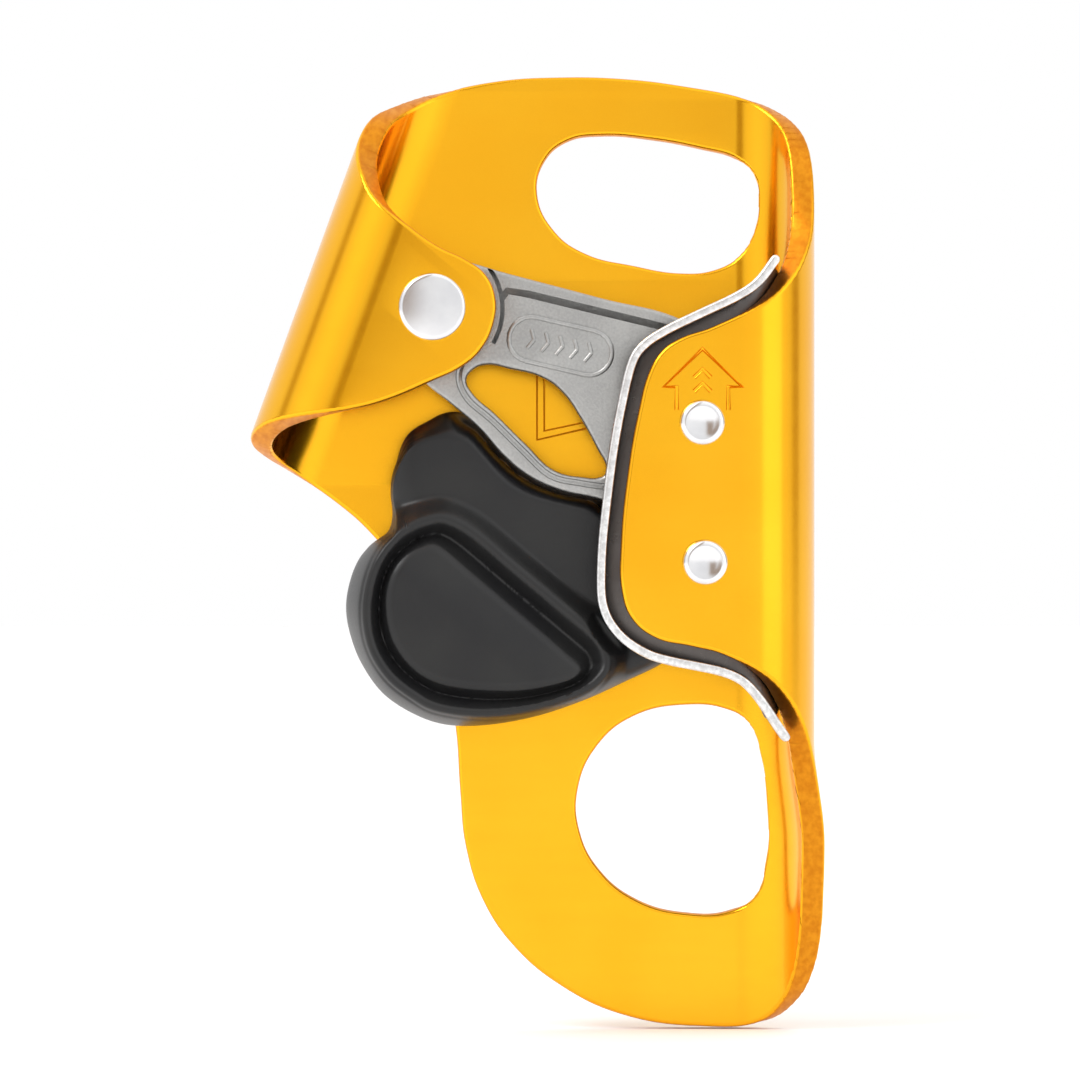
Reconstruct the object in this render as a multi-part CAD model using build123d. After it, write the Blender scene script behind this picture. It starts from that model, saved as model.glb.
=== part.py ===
from build123d import *
import math
import os

# Compact chest ascender for 8 to 11 mm rope.
#
# Frame: +Z runs up the rope, +X to the right seen from the front, and the front looks along -Y.
# The origin is the centre of the lower attachment eye on the rear face of the back plate.
# Depth is counted from that rear face towards the front, so depth d is the plane y = -d.
# Lengths are in millimetres, angles in degrees.

# Folded sheet frame.
sheet = 2.6
bend_in = 6.2
bend_out = bend_in + sheet
front_in = 2 * bend_in + sheet
front_out = front_in + sheet
bend_depth = bend_out

# Right-hand bend: its axis is upright and makes the rope channel. Below the flap nothing holds
# the flange, so the bend opens out towards its foot.
channel_x = 6.6
flare = 1.35
flare_top = 8.0
flare_full = -4.0

# Left-hand bend: its axis leans, square to the direction that faces the ear.
lean = 20.0
ear_bend = 48.9

# Cam axle.
axle_x = -26.3
axle_z = 55.0
axle_r = 3.0
axle_head_r = 3.68
axle_head_h = 1.25
running = 0.05

# Cam: a log spiral face, so the rope meets it at the same angle at every opening.
cam_open = 36.0
cam_back = 4.3
cam_front = 13.3
web_back = 9.8
boss_r = 5.9
boss_back = 6.6
spiral_angle = 28.0
spiral_reach = 37.5
face_top = -5.5
face_bottom = -36.7
teeth = 15
tooth_height = 0.9

# Steel liner of the rope channel.
liner = 1.0
liner_r = bend_in - liner
lip_front = 17.2

# Rivets through the flap.
rivet_r = 1.5
rivet_head_r = 2.5
rivet_head_h = 1.1
rivets = {"wear_rivet_upper": (2.9, 42.5), "wear_rivet_lower": (3.2, 27.4)}

# Safety catch on the cam.
pin_x = -2.76
pin_z = 26.04
pin_r = 1.5
catch_open = 8.0
catch_back = 4.5
catch_front = 13.2
pad_front = 17.4
cheek_r = 4.6
lug_back = 6.6
lug_front = 9.0
fork_back = 6.3
fork_front = 11.2
fork_r = 5.3
fork_mouth_z = 31.0
fork_mouth = 9.6
hook_gap_in = 0.35
hook_gap_out = 1.5
hook_gap_foot = 0.6
hook_cuts = 5


def slab(face, near, far):
    """Solid of an XZ outline between two depths."""
    return extrude(Plane.XZ.offset(near) * face, amount=far - near)


def disc(x, z, radius, near, far):
    return slab(Pos(x, z) * Circle(radius), near, far)


def leaning(across, along):
    """XZ place from distances square to the leaning bend and along it."""
    tilt = math.radians(lean)
    x = along * math.sin(tilt) - across * math.cos(tilt)
    z = along * math.cos(tilt) + across * math.sin(tilt)
    return x, z


def rounded(corners, radii):
    """Closed outline of straight runs with its own radius at each corner."""
    return make_face(FilletPolyline(*corners, radius=radii, close=True))


# Each bend is described by its centre line, its outward direction and the line that the blank
# is cut to: angle round the bend from the back plate, lowest and highest place along the axis.
channel_cut = [
    (0, -23.9, 79.0),
    (25, -23.3, 76.7),
    (42, -21.7, 74.9),
    (58, -18.9, 72.0),
    (72, -15.4, 68.7),
    (81, -10.8, 66.9),
    (87, -2.2, 65.9),
    (98, 4.4, 64.4),
    (115, 8.2, 62.5),
    (138, 12.2, 58.2),
    (158, 15.0, 55.8),
    (180, 16.9, 54.0),
]
ear_cut = [
    (0, 19.9, 67.5),
    (28, 20.7, 64.9),
    (50, 21.2, 62.6),
    (77, 22.0, 60.1),
    (100, 23.2, 57.0),
    (125, 24.9, 54.2),
    (150, 26.6, 51.7),
    (180, 28.8, 50.1),
]
liner_cut = [
    (100, 24.0, 46.0),
    (126, 15.5, 54.5),
    (139, 10.6, 60.2),
    (158, 13.4, 57.6),
    (180, 15.3, 55.8),
]


def channel_axes():
    return Vector(channel_x, -bend_depth, 0), Vector(1, 0, 0), Vector(0, 0, 1)


def ear_axes():
    tilt = math.radians(lean)
    out = Vector(-math.cos(tilt), 0, math.sin(tilt))
    along = Vector(math.sin(tilt), 0, math.cos(tilt))
    return out * ear_bend + Vector(0, -bend_depth, 0), out, along


def blank(axes, cut, inner, outer, margin=0.0):
    """Fan of radial slices between the two cut lines, wider than the sheet on both sides."""
    centre, out, along = axes
    back = Vector(0, 1, 0)
    sections = []
    for angle, low, high in cut:
        turn = math.radians(angle)
        ray = out * math.sin(turn) + back * math.cos(turn)
        near = centre + ray * (inner - 1)
        far = centre + ray * (outer + 1)
        foot = along * (low - margin)
        head = along * (high + margin)
        sections.append(make_face(Polyline(near + foot, far + foot, far + head, near + head, close=True)))
    return loft(sections)


def tube(axes, inner, outer, low, high):
    """Straight pipe about a bend's axis."""
    centre, out, along = axes
    place = Plane(origin=centre + along * low, x_dir=out, z_dir=along)
    return extrude(place * (Circle(outer) - Circle(inner)), amount=high - low)


def flared_pipe(radius, foot):
    """The channel's bend at one radius, straight down to the flare and opened out below it."""
    straight = Pos(channel_x, -bend_depth, flare_top) * Cylinder(
        radius, 90, align=(Align.CENTER, Align.CENTER, Align.MIN))
    rings = []
    for z, share in [(flare_top, 0), (5.0, 0.2), (2.0, 0.5), (-1.0, 0.8), (flare_full, 1), (foot, 1)]:
        middle = Pos(channel_x, -bend_depth - flare * share)
        rings.append(Plane.XY.offset(z) * middle * Circle(radius + flare * share))
    return straight + loft(rings, ruled=True)


def back_plate():
    top_left = leaning(ear_bend, ear_cut[0][2])
    low_left = leaning(ear_bend, ear_cut[0][1])
    top = (channel_x, channel_cut[0][2])
    bottom = (channel_x, channel_cut[0][1])
    outline = Curve() + [
        ThreePointArc(top_left, (-8.0, 81.1), top),
        Line(top, bottom),
        Spline(bottom, (-5.9, -22.6), (-16.9, -15.9), (-22.0, -7.9), (-23.5, 1.0), (-24.0, 9.0)),
        Spline((-24.0, 9.0), (-25.4, 16.5), (-29.0, 25.0), (-33.5, 30.7), low_left),
        Line(low_left, top_left),
    ]
    return slab(make_face(outline), 0, sheet)


def upper_eye():
    points = [(-8.0, 74.6), (-3.6, 74.3), (3.0, 73.2), (9.1, 70.7), (10.1, 67.0), (7.5, 61.3), (1.9, 59.4),
              (-9.0, 61.3), (-14.0, 65.3), (-15.0, 69.3), (-12.9, 73.3)]
    return slab(make_face(Spline(*points, periodic=True)), -1, 5)


def lower_eye():
    points = [(1.9, 11.6), (-7.4, 8.1), (-10.7, 0.2), (-7.2, -7.8), (3.1, -11.6), (8.8, -9.9),
              (10.5, -5.0), (10.7, 1.5), (10.1, 6.8), (7.4, 10.6)]
    return slab(make_face(Spline(*points, periodic=True)), -1, 5)


def flap_face():
    """Front sheet over the rope channel."""
    corners = [(channel_x, channel_cut[-1][2]), (-2.4, 50.7), (-5.4, 36.0), (-6.0, 18.6),
               (channel_x, channel_cut[-1][1])]
    return rounded(corners, [0, 3.0, 60.0, 4.6, 0])


def ear_face():
    """Front sheet round the cam axle."""
    high = ear_cut[-1][2]
    low = ear_cut[-1][1]
    corners = [leaning(ear_bend, high), leaning(45.5, 49.2), leaning(36.8, 48.1),
               leaning(36.7, 39.6), leaning(43.5, 32.8), leaning(ear_bend, low)]
    return rounded(corners, [0, 8.0, 4.6, 4.6, 20.0, 0])


def frame():
    body = back_plate()
    channel = blank(channel_axes(), channel_cut, bend_in, bend_out + 2 * flare)
    body += channel & (flared_pipe(bend_out, -30) - flared_pipe(bend_in, -30.5))
    body += blank(ear_axes(), ear_cut, bend_in, bend_out) & tube(ear_axes(), bend_in, bend_out, 0, 90)
    body += slab(flap_face(), front_in, front_out)
    body += slab(ear_face(), front_in, front_out)
    body -= upper_eye()
    body -= lower_eye()
    body -= disc(axle_x, axle_z, axle_r, -1, front_out + 1)
    body -= countersink(axle_x, axle_z, axle_r, 0.9)
    for x, z in rivets.values():
        body -= disc(x, z, rivet_r, front_in - 1, front_out + 1)
    return body


def countersink(x, z, radius, height):
    """Cone of a rivet's tail, flush with the rear face."""
    wide = Plane.XZ * Pos(x, z) * Circle(radius + height)
    narrow = Plane.XZ.offset(height) * Pos(x, z) * Circle(radius)
    return loft([wide, narrow])


def dome(x, z, radius, height, depth):
    """Low rounded rivet head that stands on the plane at this depth."""
    rim = height * 0.45
    rise = height - rim
    ball = (radius**2 + rise**2) / (2 * rise)
    cap = Pos(x, ball - depth - height, z) * Sphere(ball)
    return disc(x, z, radius, depth, depth + height) & cap


def cam_axle():
    shank = disc(axle_x, axle_z, axle_r, 0, front_out)
    return shank + countersink(axle_x, axle_z, axle_r, 0.9) + dome(
        axle_x, axle_z, axle_head_r, axle_head_h, front_out)


def wear_rivet(x, z):
    shank = disc(x, z, rivet_r, front_in - liner, front_out)
    return shank + dome(x, z, rivet_head_r, rivet_head_h, front_out)


def lip_line():
    """Run of the liner's lip round the flap, from the channel's top mouth to its lower one."""
    corners = [(10.8, 60.2), (6.9, 56.0), (-4.2, 51.1), (-6.5, 41.0), (-8.2, 30.0),
               (-8.1, 17.9), (6.6, 15.9), (11.9, 8.5)]
    return FilletPolyline(*corners, radius=[7.0, 3.0, 30.0, 30.0, 5.5, 7.0])


def wear_plate():
    line = lip_line()
    flat = make_face(Curve() + [line, Line(line @ 1, line @ 0)])
    left_of_bend = Pos(channel_x - 40, 35) * Rectangle(80, 90)
    plate = slab(flat & left_of_bend, front_in - liner, front_in)
    lip = slab(trace(line, liner), front_in - liner, lip_front)
    reach = slab(trace(line, liner) - left_of_bend, front_in - 2.6, front_in - liner + 0.1)
    plate += lip + reach
    plate += blank(channel_axes(), liner_cut, liner_r, bend_in) & tube(
        channel_axes(), liner_r, bend_in, 0, 90)
    for x, z in rivets.values():
        plate -= disc(x, z, rivet_r, front_in - liner - 1, front_in + 1)
    return plate


def polar(radius, angle):
    """XZ place at an angle round the cam axle, counted up from the channel side."""
    turn = math.radians(angle)
    return axle_x + radius * math.cos(turn), axle_z + radius * math.sin(turn)


def spiral_radius(angle):
    growth = math.tan(math.radians(spiral_angle))
    reach = spiral_reach / math.cos(math.radians(spiral_angle))
    return reach * math.exp(-growth * math.radians(angle + spiral_angle))


def toothed_face():
    """Tips and roots along the spiral, from the upper corner to the lower one."""
    steps = 2 * teeth
    points = []
    for i in range(steps + 1):
        angle = face_top + (face_bottom - face_top) * i / steps
        root = tooth_height if i % 2 else 0
        points.append(polar(spiral_radius(angle) - root, angle))
    return points


def cam_outline():
    rim = [(-24.77, 60.66)] + toothed_face()
    under = [(8.6, 26.6), (-7.9, 34.2), (-12.6, 35.3), (-16.0, 36.8), (-18.6, 39.0),
             (-21.2, 41.9), (-26.7, 46.7), (-29.8, 50.2)]
    return make_face(Polyline(*rim, *under, close=True))


def cam_window():
    points = [(-21.2, 48.8), (-15.5, 47.9), (-11.2, 44.8), (-7.6, 38.6), (-8.6, 36.7),
              (-13.2, 37.4), (-17.9, 42.0), (-22.0, 46.1)]
    return make_face(Spline(*points, periodic=True))


def head_block():
    """Full-width part of the cam, behind the toothed face."""
    corners = [(0.8, 62.0), (-5.2, 33.0), (-5.2, 20.0), (20.0, 20.0), (20.0, 62.0)]
    return make_face(Polyline(*corners, close=True))


def cam():
    outline = cam_outline()
    body = slab(outline, web_back, cam_front)
    body += slab(outline & head_block(), cam_back, cam_front)
    body += disc(axle_x, axle_z, boss_r, boss_back, cam_front)
    body -= slab(cam_window(), 0, cam_front + 1)
    beyond = Pos(channel_x + 20, 35) * Rectangle(40, 90)
    barrel = Plane.XY.offset(-10) * Pos(channel_x, -bend_depth) * Circle(liner_r - 0.6)
    body -= slab(beyond, 0, cam_front + 1) - extrude(barrel, amount=100)
    body += lug()
    body -= disc(pin_x, pin_z, pin_r, 0, cam_front)
    body -= disc(axle_x, axle_z, axle_r + running, 0, cam_front + 1)
    return body


def lug():
    """Ear under the cam that holds the catch pin."""
    neck = [(pin_x - 1.9, pin_z + 2.4), (-4.8, 34.0), (2.5, 34.0), (pin_x + 3.4, pin_z)]
    face = make_face(Polyline(*neck, close=True)) + Pos(pin_x, pin_z) * Circle(3.4)
    return slab(face, lug_back, lug_front)


def washer(near, far):
    ring = Pos(axle_x, axle_z) * (Circle(5.4) - Circle(axle_r))
    return slab(ring, near, far)


def coil(x, z, radius, wire, near, far, leg):
    """Torsion spring round an axis across the sheet, with a straight leg at each end."""
    turns_height = far - near - wire
    turns = 3
    path = Helix(pitch=turns_height / turns, height=turns_height, radius=radius)
    start = path @ 0
    tangent = path % 0
    section = Plane(origin=start, z_dir=tangent) * Circle(wire / 2)
    spring = sweep(section, path=path, is_frenet=True)
    first = Plane(origin=start, z_dir=tangent * -1) * Circle(wire / 2)
    last = Plane(origin=path @ 1, z_dir=path % 1) * Circle(wire / 2)
    spring = spring + extrude(first, amount=leg) + extrude(last, amount=leg)
    return Pos(x, -near - wire / 2, z) * Rot(90, 0, 0) * spring


def catch_outline():
    """Whole catch seen from the front, without its cheeks round the pin."""
    corners = [(-8.0, 33.2), (-12.8, 34.3), (-16.3, 35.7), (-19.2, 38.2), (-22.4, 41.9),
               (-24.0, 43.1), (-29.8, 43.1), (-32.6, 38.0), (-31.7, 31.4), (-35.2, 27.6),
               (-36.9, 20.4), (-32.2, 11.2), (-22.5, 8.1), (-10.0, 12.0), (0.2, 17.0),
               (1.6, 24.5), (-4.6, 30.8)]
    radii = [4, 3, 6, 8, 1.2, 1.5, 2.4, 6, 0.7, 6, 9, 9, 12, 20, 4, 0, 0]
    return rounded(corners, radii)


def pad_outline():
    """Raised thumb pad of the catch."""
    corners = [(-23.2, 30.9), (-28.0, 32.3), (-32.2, 30.9), (-35.2, 27.6), (-36.9, 20.4),
               (-32.2, 11.2), (-22.5, 8.1), (-9.6, 12.3), (-9.0, 18.6)]
    return rounded(corners, [5, 3, 2, 6, 9, 9, 12, 3, 2])


def swung(solid, cam_turn, catch_turn):
    """Place of a fixed solid as the catch meets it, with cam and catch turned this far."""
    about_cam = Axis((axle_x, 0, axle_z), (0, 1, 0))
    about_pin = Axis((pin_x, 0, pin_z), (0, -1, 0))
    return solid.rotate(about_cam, -cam_turn).rotate(about_pin, -catch_turn)


def safety_catch():
    body = slab(catch_outline(), catch_back, catch_front)
    body += disc(pin_x, pin_z, cheek_r, catch_back, catch_front)
    body += slab(pad_outline(), catch_back, pad_front)
    fork = Pos(pin_x, pin_z) * Circle(fork_r) + Pos(-0.6, fork_mouth_z) * Rectangle(fork_mouth, 10.0)
    body -= slab(fork, fork_back, fork_front)
    body -= disc(pin_x, pin_z, pin_r + running, 0, 20)
    # With the cam held open, the catch hooks over the lower edge of the ear's bend.
    inner = bend_in - hook_gap_in
    outer = bend_out + hook_gap_out
    ring = tube(ear_axes(), inner, outer, 0, 90)
    hook = blank(ear_axes(), ear_cut, inner, outer, margin=hook_gap_foot) & ring
    for cut in range(hook_cuts):
        body -= swung(hook, cam_open, catch_open * cut / (hook_cuts - 1))
    return max(body.solids(), key=lambda solid: solid.volume)


def build():
    nodes = {"frame": frame(), "wear_plate": wear_plate(), "cam": cam(), "cam_axle": cam_axle()}
    for name, (x, z) in rivets.items():
        nodes[name] = wear_rivet(x, z)
    nodes["thrust_washer_front"] = washer(cam_front + 0.1, front_in)
    nodes["thrust_washer_rear"] = washer(sheet, sheet + 0.5)
    nodes["cam_spring"] = coil(axle_x, axle_z, 4.3, 0.9, sheet + 0.6, boss_back - 0.1, 4.5)
    nodes["safety_catch"] = safety_catch()
    nodes["catch_pin"] = disc(pin_x, pin_z, pin_r, catch_back, catch_front)
    nodes["catch_spring"] = coil(pin_x, pin_z, 2.3, 0.6, lug_front + 0.1, fork_front - 0.1, 1.5)
    return nodes


os.makedirs("parts", exist_ok=True)
for name, shape in build().items():
    export_step(shape, f"parts/{name}.step")
    print(name, round(shape.volume, 1))
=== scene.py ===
import math
import bpy
import numpy as np
from mathutils import Matrix, Vector


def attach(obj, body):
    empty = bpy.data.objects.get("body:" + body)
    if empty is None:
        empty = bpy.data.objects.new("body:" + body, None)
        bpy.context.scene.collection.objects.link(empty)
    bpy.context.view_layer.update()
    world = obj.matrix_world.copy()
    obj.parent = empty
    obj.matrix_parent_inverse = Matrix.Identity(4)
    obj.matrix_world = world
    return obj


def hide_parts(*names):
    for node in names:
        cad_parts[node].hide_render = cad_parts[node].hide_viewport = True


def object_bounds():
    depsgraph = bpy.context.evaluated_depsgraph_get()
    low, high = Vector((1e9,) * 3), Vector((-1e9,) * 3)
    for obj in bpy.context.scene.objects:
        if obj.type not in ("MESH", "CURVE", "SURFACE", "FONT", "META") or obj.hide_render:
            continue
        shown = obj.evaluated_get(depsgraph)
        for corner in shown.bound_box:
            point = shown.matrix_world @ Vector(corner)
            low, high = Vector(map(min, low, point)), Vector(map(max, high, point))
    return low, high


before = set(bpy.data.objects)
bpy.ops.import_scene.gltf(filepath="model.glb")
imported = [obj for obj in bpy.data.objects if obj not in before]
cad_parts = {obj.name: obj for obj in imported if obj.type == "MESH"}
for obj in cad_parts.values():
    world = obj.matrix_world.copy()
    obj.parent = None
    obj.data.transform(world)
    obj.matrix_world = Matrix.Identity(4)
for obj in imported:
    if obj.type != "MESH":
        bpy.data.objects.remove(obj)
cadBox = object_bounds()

mm = 0.001


def clearSelection():
    if bpy.context.object and bpy.context.object.mode != "OBJECT":
        bpy.ops.object.mode_set(mode="OBJECT")
    bpy.ops.object.select_all(action="DESELECT")


def makeActive(piece):
    clearSelection()
    piece.select_set(True)
    bpy.context.view_layer.objects.active = piece


def pickInEdit(piece, wanted):  # wanted: one yes or no for each point
    makeActive(piece)
    mesh = piece.data
    mesh.vertices.foreach_set("select", wanted)
    mesh.edges.foreach_set("select", [False] * len(mesh.edges))
    mesh.polygons.foreach_set("select", [False] * len(mesh.polygons))
    bpy.ops.object.mode_set(mode="EDIT")
    bpy.ops.mesh.select_mode(type="VERT")


def pickAll(piece):
    pickInEdit(piece, [True] * len(piece.data.vertices))


def leaveEdit():
    bpy.ops.object.mode_set(mode="OBJECT")


def settle(piece):  # the place goes into the mesh
    makeActive(piece)
    bpy.ops.object.transform_apply(location=True, rotation=True, scale=True)


def addModifier(piece, kind, **settings):
    modifier = piece.modifiers.new(kind.lower(), kind)
    for key, value in settings.items():
        setattr(modifier, key, value)
    makeActive(piece)
    bpy.ops.object.modifier_apply(modifier=modifier.name)


def combine(piece, tool, how):  # cut, add or keep with another closed shape, which is used up
    addModifier(piece, "BOOLEAN", operation=how, object=tool, solver="EXACT")
    bpy.data.objects.remove(tool)


def mergeDoubles(piece, gap=0.002 * mm):
    pickAll(piece)
    bpy.ops.mesh.remove_doubles(threshold=gap)
    leaveEdit()


def faceOutward(piece):
    pickAll(piece)
    bpy.ops.mesh.normals_make_consistent(inside=False)
    leaveEdit()


def smoothBy(piece, degrees):
    makeActive(piece)
    bpy.ops.object.shade_smooth_by_angle(angle=math.radians(degrees))


def joinInto(piece, others):
    makeActive(piece)
    for other in others:
        other.select_set(True)
    bpy.ops.object.join()


def finishPiece(piece, material, node, body):
    piece.data.materials.clear()
    piece.data.materials.append(material)
    for face in piece.data.polygons:
        face.material_index = 0
    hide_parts(node)
    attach(piece, body)


def newSpline(curve, kind, places, closed):
    spline = curve.splines.new("POLY" if kind == "POLY" else "BEZIER")
    if kind == "POLY":
        spline.points.add(len(places) - 1)
        for knot, place in zip(spline.points, places):
            knot.co = (place[0] * mm, place[1] * mm, 0, 1)
    else:
        spline.bezier_points.add(len(places) - 1)
        for knot, place in zip(spline.bezier_points, places):
            knot.co = (place[0] * mm, place[1] * mm, 0)
            knot.handle_left_type = knot.handle_right_type = kind
    spline.use_cyclic_u = closed


def curveToMesh(name, curve, depth):  # drawn flat in x and z, then stood up at this depth
    piece = bpy.data.objects.new(name, curve)
    bpy.context.scene.collection.objects.link(piece)
    piece.rotation_euler = (math.radians(90), 0, 0)
    piece.location = (0, -depth * mm, 0)
    makeActive(piece)
    bpy.ops.object.convert(target="MESH")
    piece = bpy.context.object
    settle(piece)
    mergeDoubles(piece)
    return piece


def flatSheet(name, loops, near, far, rim, kind="AUTO", steps=8, rimSteps=3):
    # closed outlines of x and z in mm, the first one round all the others, between two depths
    curve = bpy.data.curves.new(name, "CURVE")
    curve.dimensions = "2D"
    curve.fill_mode = "BOTH"
    curve.resolution_u = steps
    curve.extrude = ((far - near) / 2 - rim) * mm
    curve.bevel_depth = rim * mm
    curve.bevel_resolution = rimSteps
    curve.offset = -rim * mm
    for loop in loops:
        newSpline(curve, kind, loop, True)
    return curveToMesh(name, curve, (near + far) / 2)


def roundBar(name, places, radius, depth, closed=False):
    curve = bpy.data.curves.new(name, "CURVE")
    curve.dimensions = "3D"
    curve.bevel_depth = radius * mm
    curve.bevel_resolution = 2
    curve.use_fill_caps = True
    newSpline(curve, "POLY", places, closed)
    return curveToMesh(name, curve, depth)


def circleLoop(x, z, radius, points=8):
    turns = [2 * math.pi * i / points for i in range(points)]
    return [(x + radius * math.cos(t), z + radius * math.sin(t)) for t in turns]


def arcPlaces(x, z, radius, start, end, points):
    turns = [math.radians(start + (end - start) * i / (points - 1)) for i in range(points)]
    return [(x + radius * math.cos(t), z + radius * math.sin(t)) for t in turns]


def addRod(name, x, z, radius, near, far, sides=96):
    clearSelection()
    bpy.ops.mesh.primitive_cylinder_add(vertices=sides, radius=radius * mm, depth=(far - near) * mm,
                                        location=(x * mm, -(near + far) / 2 * mm, z * mm),
                                        rotation=(math.radians(90), 0, 0))
    rod = bpy.context.object
    rod.name = name
    settle(rod)
    return rod


def addBlock(name, low, high):  # corners as x, depth and z in mm
    clearSelection()
    middle = [(a + b) / 2 * mm for a, b in zip(low, high)]
    size = [(b - a) * mm for a, b in zip(low, high)]
    bpy.ops.mesh.primitive_cube_add(size=1, location=(middle[0], -middle[1], middle[2]), scale=size)
    block = bpy.context.object
    block.name = name
    settle(block)
    return block


class Signal:  # a shader socket that takes ordinary arithmetic
    def __init__(self, nodes, socket):
        self.nodes, self.socket = nodes, socket

    def maths(self, kind, *values):
        return self.nodes.node("Math", {"operation": kind}, *values)

    def __add__(self, other):
        return self.maths("ADD", self, other)

    def __radd__(self, other):
        return self.maths("ADD", other, self)

    def __sub__(self, other):
        return self.maths("SUBTRACT", self, other)

    def __rsub__(self, other):
        return self.maths("SUBTRACT", other, self)

    def __mul__(self, other):
        return self.maths("MULTIPLY", self, other)

    def __rmul__(self, other):
        return self.maths("MULTIPLY", other, self)

    def __truediv__(self, other):
        return self.maths("DIVIDE", self, other)

    def __rtruediv__(self, other):
        return self.maths("DIVIDE", other, self)


class NodeTree:  # the nodes of a material or of the world
    def __init__(self, tree):
        self.tree = tree

    def put(self, socket, value):
        if isinstance(value, Signal):
            self.tree.links.new(value.socket, socket)
        else:
            socket.default_value = value

    def node(self, kind, settings, *values, output=0, **named):
        made = self.tree.nodes.new("ShaderNode" + kind)
        for key, value in settings.items():
            if key == "stops":
                self.setStops(made.color_ramp, value)
            else:
                setattr(made, key, value)
        for socket, value in zip(made.inputs, values):
            self.put(socket, value)
        for key, value in named.items():
            self.put(made.inputs[key.replace("_", " ")], value)
        return Signal(self, made.outputs[output])

    def setStops(self, ramp, stops):
        ramp.interpolation = "EASE"
        ramp.elements.remove(ramp.elements[-1])
        for i, (position, colour) in enumerate(stops):
            stop = ramp.elements[0] if i == 0 else ramp.elements.new(position)
            stop.position = position
            stop.color = (*colour, 1)

    def mix(self, share, first, second):
        mixed = self.node("Mix", {"data_type": "RGBA"}, share, output=2)
        for spot, colour in ((6, first), (7, second)):
            colour = (*colour, 1) if isinstance(colour, tuple) else colour
            self.put(mixed.socket.node.inputs[spot], colour)
        return mixed


class Paint(NodeTree):  # one material
    def __init__(self, name, **settings):
        self.material = bpy.data.materials.new(name)
        self.material.use_nodes = True
        super().__init__(self.material.node_tree)
        self.shader = self.tree.nodes["Principled BSDF"]
        for key, value in settings.items():
            self.shader.inputs[key.replace("_", " ")].default_value = value
        self.place = self.node("TexCoord", {}, output="Object")

    def grain(self, scale, detail=2.0, stretch=(1, 1, 1), rough=0.5):
        place = self.node("Mapping", {}, self.place, Scale=stretch)
        return self.node("TexNoise", {}, Vector=place, Scale=scale, Detail=detail, Roughness=rough)

    def ramp(self, value, low, high):  # 0 at low, 1 at high
        return self.node("MapRange", {"interpolation_type": "SMOOTHSTEP"}, value, low, high, 0.0, 1.0)

    def bump(self, height, strength, distance):
        return self.node("Bump", {}, Strength=strength, Distance=distance, Height=height)

    def drive(self, **values):
        for key, value in values.items():
            self.put(self.shader.inputs[key.replace("_", " ")], value)
        return self.material


goldLook = dict(flat=(0.95, 0.475, 0.012), flatDeep=(0.93, 0.44, 0.008), cut=(0.72, 0.28, 0.015),
                cutDeep=(0.60, 0.20, 0.010), rough=0.2, cutRough=0.24, coat=0.22,
                cloud=60.0, brushed=700.0, speck=5000.0, tears=1500.0,
                brushedRough=0.06, tearsRough=0.15, brushedHigh=0.10, speckHigh=0.25, tearsHigh=1.2)


def goldPaint():
    paint = Paint("goldAnodised", Metallic=1.0, Coat_Roughness=0.12, Coat_IOR=1.45)
    edge = paint.node("Attribute", {"attribute_name": "cutEdge"}, output="Fac")
    cloud = paint.grain(goldLook["cloud"])
    brushed = paint.grain(goldLook["brushed"], stretch=(0.1, 1, 1))
    speck = paint.grain(goldLook["speck"], detail=3.0)
    tears = paint.grain(goldLook["tears"], stretch=(1, 0.3, 1))
    flat = paint.mix(paint.ramp(cloud, 0.3, 0.7), goldLook["flat"], goldLook["flatDeep"])
    cut = paint.mix(paint.ramp(tears, 0.25, 0.75), goldLook["cut"], goldLook["cutDeep"])
    tone = paint.mix(edge, flat, cut)
    rough = goldLook["rough"] + (brushed - 0.5) * goldLook["brushedRough"]
    rough = rough + edge * (goldLook["cutRough"] + (tears - 0.5) * goldLook["tearsRough"])
    height = brushed * goldLook["brushedHigh"] + speck * goldLook["speckHigh"]
    height = height + edge * tears * goldLook["tearsHigh"]
    coat = goldLook["coat"] * (1.0 - edge)
    return paint.drive(Base_Color=tone, Roughness=rough, Coat_Weight=coat,
                       Normal=paint.bump(height, 0.2, 0.04 * mm))


def steelPaint(name, light, dark, rough, spread, fine, depth):
    paint = Paint(name, Metallic=1.0)
    cloud = paint.grain(180.0)
    grain = paint.grain(fine, detail=3.0)
    tone = paint.mix(paint.ramp(cloud * 0.5 + grain * 0.5, 0.35, 0.65), light, dark)
    level = rough + (grain - 0.5) * spread
    return paint.drive(Base_Color=tone, Roughness=level, Normal=paint.bump(grain, 0.6, depth * mm))


# the depths in mm at which the sheet turns from dull to ground, and from painted shade to clear
linerLook = dict(dullAndShaded=16.7, bright=16.95, sunk=15.2, clear=16.6, shade=(0.11, 0.10, 0.095),
                 face=(0.42, 0.41, 0.40), faceDeep=(0.32, 0.31, 0.30),
                 edge=(0.86, 0.86, 0.86), edgeDeep=(0.62, 0.62, 0.62),
                 scratch=2200.0, cloud=300.0, rough=0.30, spread=0.15)


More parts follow.
